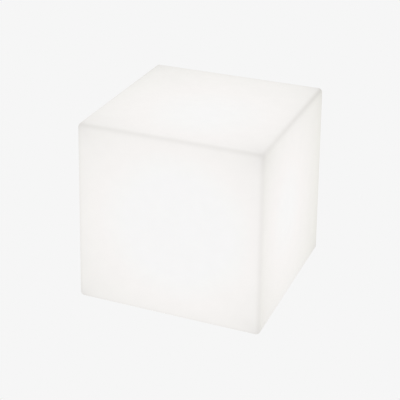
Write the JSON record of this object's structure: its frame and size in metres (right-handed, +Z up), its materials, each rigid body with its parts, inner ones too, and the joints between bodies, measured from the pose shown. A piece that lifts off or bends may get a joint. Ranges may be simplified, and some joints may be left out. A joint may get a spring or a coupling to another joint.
{
  "type": "cube light",
  "caption": "Glowing cube light: drafted translucent plastic shell on rubber feet, with a round lamp unit, push button and covered charging port in its underside.",
  "frame": {"origin": "centre of the footprint, on the surface that the rubber feet stand on", "axes": "+Z up; the large lit face on the left of the picture looks along -Y, the other side face in view along +X"},
  "size_m": [0.4076, 0.4076, 0.4],
  "materials": {
    "shell_pe": "satin, translucent polyethylene, lit from inside",
    "rubber_grey": "matt",
    "brass": "knurled",
    "stainless": "bright zinc or stainless",
    "silicone": "matt, translucent grey",
    "abs_white": "fine spark-eroded texture",
    "abs_grey": "fine spark-eroded texture",
    "switch_black": "satin",
    "spring_steel": "bright",
    "socket_steel": "nickel plated",
    "clear_pc": "clear, polished",
    "led_package": "phosphor under clear silicone",
    "indicator_lens": "clear, unlit",
    "board_green": "solder mask over glass fibre",
    "board_white": "white solder mask on aluminium",
    "chip_black": "moulded epoxy",
    "ferrite": "sintered ferrite",
    "capacitor_can": "bare can",
    "connector_white": "moulded nylon",
    "cell_sleeve": "shrink sleeve",
    "nickel": "thin strip",
    "foam": "closed-cell foam",
    "lead_silicone": "silicone-sleeved wire",
    "tinned_wire": "tinned copper",
    "aluminium": "turned or milled, bare",
    "opal_pc": "opal polycarbonate"
  },
  "bodies": {
    "cube": {"diffuser_shell": "shell_pe", "rubber_feet": "rubber_grey", "threaded_inserts": "brass", "base_screws": "stainless", "base_gasket": "silicone", "base_housing": "abs_white", "button_seal": "silicone", "button_spring": "spring_steel", "switch_body": "switch_black", "port_hinge_pin": "stainless", "charge_socket": "socket_steel", "charge_socket_tongue": "switch_black", "indicator_light_pipe": "clear_pc", "indicator_led": "indicator_lens", "control_board": "board_green", "board_screws": "stainless", "driver_chips": "chip_black", "power_inductor": "ferrite", "filter_capacitors": "capacitor_can", "battery_connector": "connector_white", "lamp_connector": "connector_white", "battery_tray": "abs_white", "tray_screws": "stainless", "battery_cells": "cell_sleeve", "cell_tabs": "nickel", "battery_guard_board": "board_green", "battery_clamp": "nickel", "battery_clamp_pad": "foam", "battery_clamp_screws": "stainless", "battery_leads": "lead_silicone", "lamp_leads": "lead_silicone", "deck_seal": "silicone", "deck_plate": "aluminium", "deck_screws": "stainless", "lead_grommet": "silicone", "lamp_post": "aluminium", "lamp_post_screws": "stainless", "led_core": "aluminium", "core_set_screws": "stainless", "side_led_boards": "board_white", "side_board_screws": "stainless", "side_leds": "led_package", "top_led_board": "board_white", "top_board_screws": "stainless", "top_leds": "led_package", "board_jumpers": "tinned_wire", "lamp_diffuser": "opal_pc", "diffuser_seal": "silicone", "diffuser_clamp_ring": "abs_white", "clamp_ring_screws": "stainless"},
    "button": {"power_button": "abs_grey", "switch_plunger": "switch_black"},
    "cover": {"port_cover": "abs_grey", "port_cover_seal": "silicone"}
  },
  "joints": [
    {"name": "button_press", "type": "slide", "parent": "cube", "child": "button", "axis": [0, 0, 1], "range_m": [0, 0.002], "stiffness_N_per_m": 600, "springref_m": -0.001, "deforming": ["button_spring"]},
    {"name": "cover_hinge", "type": "hinge", "parent": "cube", "child": "cover", "pos_m": [-0.036, 0, 0.0137], "axis": [0, 1, 0], "range_deg": [0, 110]}
  ]
}
